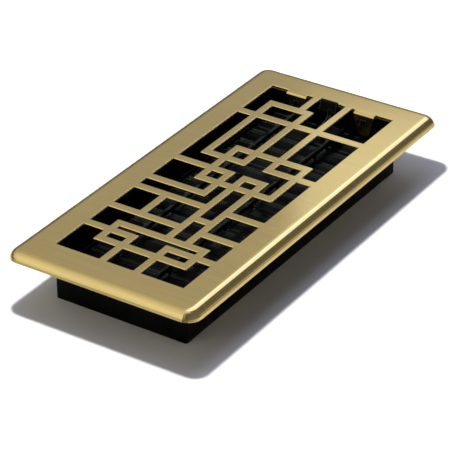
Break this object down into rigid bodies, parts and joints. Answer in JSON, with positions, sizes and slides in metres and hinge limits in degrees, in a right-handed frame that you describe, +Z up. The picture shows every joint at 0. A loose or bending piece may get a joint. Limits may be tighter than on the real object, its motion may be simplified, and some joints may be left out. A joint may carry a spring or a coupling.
{
  "type": "floor register",
  "caption": "Floor register with a brass fretwork face over a black louvre damper box, opened and closed by a thumb lever.",
  "frame": {"origin": "centre of the object's bounding box, at the underside of the damper box", "axes": "+X across the short side, +Y along the long side towards the thumb lever, +Z up out of the floor opening"},
  "size_m": [0.1396, 0.2922, 0.0413],
  "materials": {
    "brushed_brass": "brushed, lacquered",
    "black_plastic": "moulded, matte"
  },
  "bodies": {
    "register": {"faceplate": "brushed_brass", "damper_box": "black_plastic"},
    "blade_01": {"blade_01": "black_plastic"},
    "blade_02": {"blade_02": "black_plastic"},
    "blade_03": {"blade_03": "black_plastic"},
    "blade_04": {"blade_04": "black_plastic"},
    "blade_05": {"blade_05": "black_plastic"},
    "blade_06": {"blade_06": "black_plastic"},
    "blade_07": {"blade_07": "black_plastic"},
    "blade_08": {"blade_08": "black_plastic"},
    "blade_09": {"blade_09": "black_plastic"},
    "blade_10": {"blade_10": "black_plastic"},
    "blade_11": {"blade_11": "black_plastic"},
    "blade_12": {"blade_12": "black_plastic"},
    "blade_13": {"blade_13": "black_plastic"},
    "blade_14": {"blade_14": "black_plastic"},
    "blade_15": {"blade_15": "black_plastic"},
    "link_left": {"link_bar_left": "black_plastic"},
    "link_right": {"link_bar_right": "black_plastic", "thumb_lever": "black_plastic"}
  },
  "joints": [
    {"name": "blade_01_turn", "type": "hinge", "parent": "register", "child": "blade_01", "pos_m": [0, -0.10668, 0.018], "axis": [1, 0, 0], "range_deg": [0, 75]},
    {"name": "blade_02_turn", "type": "hinge", "parent": "register", "child": "blade_02", "pos_m": [0, -0.09144, 0.018], "axis": [1, 0, 0], "range_deg": [0, 75]},
    {"name": "blade_03_turn", "type": "hinge", "parent": "register", "child": "blade_03", "pos_m": [0, -0.0762, 0.018], "axis": [1, 0, 0], "range_deg": [0, 75]},
    {"name": "blade_04_turn", "type": "hinge", "parent": "register", "child": "blade_04", "pos_m": [0, -0.06096, 0.018], "axis": [1, 0, 0], "range_deg": [0, 75]},
    {"name": "blade_05_turn", "type": "hinge", "parent": "register", "child": "blade_05", "pos_m": [0, -0.04572, 0.018], "axis": [1, 0, 0], "range_deg": [0, 75]},
    {"name": "blade_06_turn", "type": "hinge", "parent": "register", "child": "blade_06", "pos_m": [0, -0.03048, 0.018], "axis": [1, 0, 0], "range_deg": [0, 75]},
    {"name": "blade_07_turn", "type": "hinge", "parent": "register", "child": "blade_07", "pos_m": [0, -0.01524, 0.018], "axis": [1, 0, 0], "range_deg": [0, 75]},
    {"name": "blade_08_turn", "type": "hinge", "parent": "register", "child": "blade_08", "pos_m": [0, 0, 0.018], "axis": [1, 0, 0], "range_deg": [0, 75]},
    {"name": "blade_09_turn", "type": "hinge", "parent": "register", "child": "blade_09", "pos_m": [0, 0.01524, 0.018], "axis": [1, 0, 0], "range_deg": [0, 75]},
    {"name": "blade_10_turn", "type": "hinge", "parent": "register", "child": "blade_10", "pos_m": [0, 0.03048, 0.018], "axis": [1, 0, 0], "range_deg": [0, 75]},
    {"name": "blade_11_turn", "type": "hinge", "parent": "register", "child": "blade_11", "pos_m": [0, 0.04572, 0.018], "axis": [1, 0, 0], "range_deg": [0, 75]},
    {"name": "blade_12_turn", "type": "hinge", "parent": "register", "child": "blade_12", "pos_m": [0, 0.06096, 0.018], "axis": [1, 0, 0], "range_deg": [0, 75]},
    {"name": "blade_13_turn", "type": "hinge", "parent": "register", "child": "blade_13", "pos_m": [0, 0.0762, 0.018], "axis": [1, 0, 0], "range_deg": [0, 75]},
    {"name": "blade_14_turn", "type": "hinge", "parent": "register", "child": "blade_14", "pos_m": [0, 0.09144, 0.018], "axis": [1, 0, 0], "range_deg": [0, 75]},
    {"name": "blade_15_turn", "type": "hinge", "parent": "register", "child": "blade_15", "pos_m": [0, 0.10668, 0.018], "axis": [1, 0, 0], "range_deg": [0, 75]},
    {"name": "link_left_swing", "type": "hinge", "parent": "blade_01", "child": "link_left", "pos_m": [-0.0266, -0.10102, 0.02366], "axis": [1, 0, 0], "range_deg": [-75, 0]},
    {"name": "link_right_swing", "type": "hinge", "parent": "blade_01", "child": "link_right", "pos_m": [0.0129, -0.10102, 0.02366], "axis": [1, 0, 0], "range_deg": [-75, 0]}
  ],
  "couplings": [
    {"joint": "blade_02_turn", "follows": "blade_01_turn", "ratio": 1},
    {"joint": "blade_03_turn", "follows": "blade_01_turn", "ratio": 1},
    {"joint": "blade_04_turn", "follows": "blade_01_turn", "ratio": 1},
    {"joint": "blade_05_turn", "follows": "blade_01_turn", "ratio": 1},
    {"joint": "blade_06_turn", "follows": "blade_01_turn", "ratio": 1},
    {"joint": "blade_07_turn", "follows": "blade_01_turn", "ratio": 1},
    {"joint": "blade_08_turn", "follows": "blade_01_turn", "ratio": 1},
    {"joint": "blade_09_turn", "follows": "blade_01_turn", "ratio": 1},
    {"joint": "blade_10_turn", "follows": "blade_01_turn", "ratio": 1},
    {"joint": "blade_11_turn", "follows": "blade_01_turn", "ratio": 1},
    {"joint": "blade_12_turn", "follows": "blade_01_turn", "ratio": 1},
    {"joint": "blade_13_turn", "follows": "blade_01_turn", "ratio": 1},
    {"joint": "blade_14_turn", "follows": "blade_01_turn", "ratio": 1},
    {"joint": "blade_15_turn", "follows": "blade_01_turn", "ratio": 1},
    {"joint": "link_left_swing", "follows": "blade_01_turn", "ratio": -1},
    {"joint": "link_right_swing", "follows": "blade_01_turn", "ratio": -1}
  ]
}
